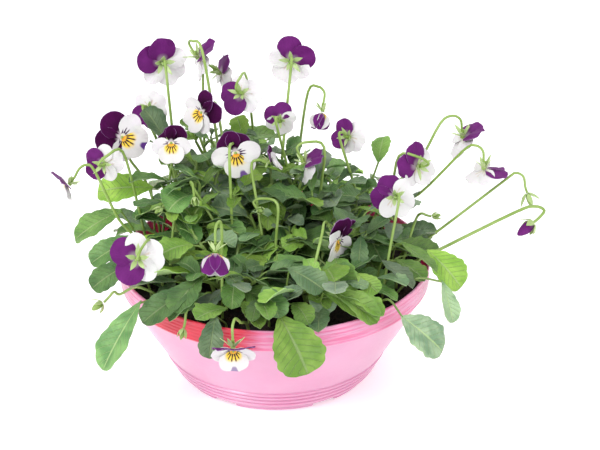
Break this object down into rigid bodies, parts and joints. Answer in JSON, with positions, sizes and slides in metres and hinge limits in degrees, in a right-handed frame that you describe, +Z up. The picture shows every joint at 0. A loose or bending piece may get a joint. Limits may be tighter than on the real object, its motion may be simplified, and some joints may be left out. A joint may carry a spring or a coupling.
{
  "type": "potted pansies",
  "caption": "Shallow round plastic bowl of compost planted with small two-coloured pansies: leafy crowns, hooked-neck blooms, buds and leaves over the rim.",
  "frame": {"origin": "centre of the underside of the bowl, on the floor", "axes": "+Z up along the bowl's axis; -Y is the front of the planting"},
  "size_m": [0.388, 0.311, 0.2583],
  "materials": {
    "bowl_plastic": "satin",
    "compost": "matte",
    "crown_leaf": "matte",
    "bloom": "matte",
    "bud": "matte",
    "leaf": "matte"
  },
  "bodies": {
    "root": {"bowl": "bowl_plastic", "soil": "compost", "crown_centre": "crown_leaf", "crown_right": "crown_leaf", "crown_back_right": "crown_leaf", "crown_back_left": "crown_leaf", "crown_left": "crown_leaf", "crown_front_left": "crown_leaf", "crown_front_right": "crown_leaf", "bloom_01": "bloom", "bloom_02": "bloom", "bloom_03": "bloom", "bloom_04": "bloom", "bloom_05": "bloom", "bloom_06": "bloom", "bloom_07": "bloom", "bloom_08": "bloom", "bloom_09": "bloom", "bloom_10": "bloom", "bloom_11": "bloom", "bloom_12": "bloom", "bloom_13": "bloom", "bloom_14": "bloom", "bloom_15": "bloom", "bloom_16": "bloom", "bloom_17": "bloom", "bloom_18": "bloom", "bloom_19": "bloom", "bloom_20": "bloom", "bloom_21": "bloom", "bloom_22": "bloom", "bud_01": "bud", "bud_02": "bud", "bud_03": "bud", "bud_04": "bud", "bud_05": "bud", "bud_06": "bud", "bud_07": "bud", "bud_08": "bud", "leaf_01": "leaf", "leaf_02": "leaf", "leaf_03": "leaf", "leaf_04": "leaf", "leaf_05": "leaf", "leaf_06": "leaf", "leaf_07": "leaf", "leaf_08": "leaf", "leaf_09": "leaf", "leaf_10": "leaf", "leaf_11": "leaf", "leaf_12": "leaf", "leaf_13": "leaf", "leaf_14": "leaf", "leaf_15": "leaf", "leaf_16": "leaf", "leaf_17": "leaf", "leaf_18": "leaf", "leaf_19": "leaf", "leaf_20": "leaf"}
  },
  "joints": []
}
